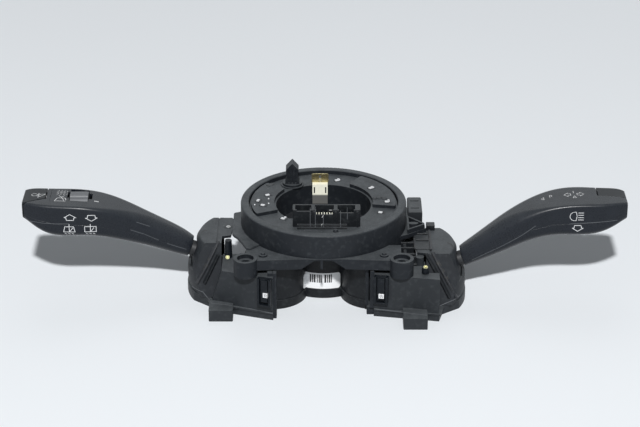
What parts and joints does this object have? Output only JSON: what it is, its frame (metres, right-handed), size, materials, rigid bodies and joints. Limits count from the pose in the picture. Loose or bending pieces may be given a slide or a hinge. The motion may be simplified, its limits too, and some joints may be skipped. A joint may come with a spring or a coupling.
{
  "type": "combination stalk switch",
  "caption": "Steering column switch cluster: round clock spring with a driver peg and socket block between a wiper stalk and a turn signal stalk.",
  "frame": {"origin": "on the steering column's axis, at the underside of the column collar", "axes": "+Z along the column towards the steering wheel; +X towards the turn signal stalk; the stalks lie along X"},
  "size_m": [0.413, 0.1355, 0.0749],
  "materials": {
    "charcoal_plastic": "moulded, fine grain",
    "black_plastic": "moulded, matt",
    "stalk_plastic": "soft sheen, fine grain",
    "wheel_plastic": "satin",
    "circuit_board": "solder resist",
    "brass": "bright",
    "steel": "bright",
    "ribbon": "film",
    "inner_plastic": "matt"
  },
  "bodies": {
    "column_unit": {"column_collar": "black_plastic", "sensor_housing": "black_plastic", "sensor_lid": "black_plastic", "sensor_board": "circuit_board", "carrier": "charcoal_plastic", "stator_housing": "charcoal_plastic", "ribbon_coil": "ribbon", "vehicle_connector": "charcoal_plastic", "wiper_base": "charcoal_plastic", "wiper_housing": "charcoal_plastic", "wiper_board": "circuit_board", "wiper_latch": "charcoal_plastic", "wiper_cover": "charcoal_plastic", "turn_base": "charcoal_plastic", "turn_housing": "charcoal_plastic", "turn_board": "circuit_board", "turn_latch": "charcoal_plastic", "turn_cover": "charcoal_plastic"},
    "clock_spring_rotor": {"rotor": "charcoal_plastic", "code_ring": "inner_plastic", "driver_peg": "charcoal_plastic", "socket_block": "black_plastic", "contact_clip": "brass", "contact_tongue": "steel"},
    "wiper_gimbal": {"wiper_yoke": "inner_plastic", "wiper_cross_pin": "steel"},
    "wiper_stalk": {"wiper_lever": "inner_plastic", "wiper_shield": "charcoal_plastic", "wiper_spring": "steel", "wiper_stalk_upper": "stalk_plastic", "wiper_stalk_lower": "stalk_plastic", "wheel_axle": "steel"},
    "wiper_detent": {"wiper_plunger": "inner_plastic"},
    "wiper_nose": {"wiper_end_button": "stalk_plastic"},
    "turn_gimbal": {"turn_yoke": "inner_plastic", "turn_cross_pin": "steel"},
    "turn_stalk": {"turn_lever": "inner_plastic", "turn_shield": "charcoal_plastic", "turn_spring": "steel", "turn_stalk_upper": "stalk_plastic", "turn_stalk_lower": "stalk_plastic"},
    "turn_detent": {"turn_plunger": "inner_plastic"},
    "turn_nose": {"turn_end_button": "stalk_plastic"},
    "interval_wheel": {"thumbwheel": "wheel_plastic"},
    "rain_button": {"sensor_button": "stalk_plastic"}
  },
  "joints": [
    {"name": "steering_turn", "type": "hinge", "parent": "column_unit", "child": "clock_spring_rotor", "pos_m": [0, 0, 0.05], "axis": [0, 0, 1], "range_deg": [-900, 900]},
    {"name": "wiper_up_down", "type": "hinge", "parent": "column_unit", "child": "wiper_gimbal", "pos_m": [-0.048, -0.013, 0.0145], "axis": [0, 0, 1], "range_deg": [-7, 7]},
    {"name": "wiper_pull_push", "type": "hinge", "parent": "wiper_gimbal", "child": "wiper_stalk", "pos_m": [-0.048, -0.013, 0.0145], "axis": [0, 1, 0], "range_deg": [-4, 4], "stiffness_Nm_per_rad": 15},
    {"name": "wiper_detent_slide", "type": "slide", "parent": "wiper_stalk", "child": "wiper_detent", "axis": [-1, 0, 0], "range_m": [0, 0.0005], "stiffness_N_per_m": 600},
    {"name": "wiper_nose_press", "type": "slide", "parent": "wiper_stalk", "child": "wiper_nose", "axis": [1, 0, 0], "range_m": [0, 0.0006], "stiffness_N_per_m": 900},
    {"name": "turn_up_down", "type": "hinge", "parent": "column_unit", "child": "turn_gimbal", "pos_m": [0.0515, -0.025, 0.013], "axis": [0, 0, 1], "range_deg": [-7, 7]},
    {"name": "turn_pull_push", "type": "hinge", "parent": "turn_gimbal", "child": "turn_stalk", "pos_m": [0.0515, -0.025, 0.013], "axis": [0, 1, 0], "range_deg": [-4, 4], "stiffness_Nm_per_rad": 15},
    {"name": "turn_detent_slide", "type": "slide", "parent": "turn_stalk", "child": "turn_detent", "axis": [1, 0, 0], "range_m": [0, 0.0005], "stiffness_N_per_m": 600},
    {"name": "turn_nose_press", "type": "slide", "parent": "turn_stalk", "child": "turn_nose", "axis": [-1, 0, 0], "range_m": [0, 0.0006], "stiffness_N_per_m": 900},
    {"name": "interval_turn", "type": "hinge", "parent": "wiper_stalk", "child": "interval_wheel", "pos_m": [-0.1676, -0.0141, 0.0633], "axis": [1, 0, 0], "range_deg": [-45, 45]},
    {"name": "rain_press", "type": "slide", "parent": "wiper_stalk", "child": "rain_button", "axis": [0, 0, -1], "range_m": [0, 0.0008], "stiffness_N_per_m": 900}
  ]
}
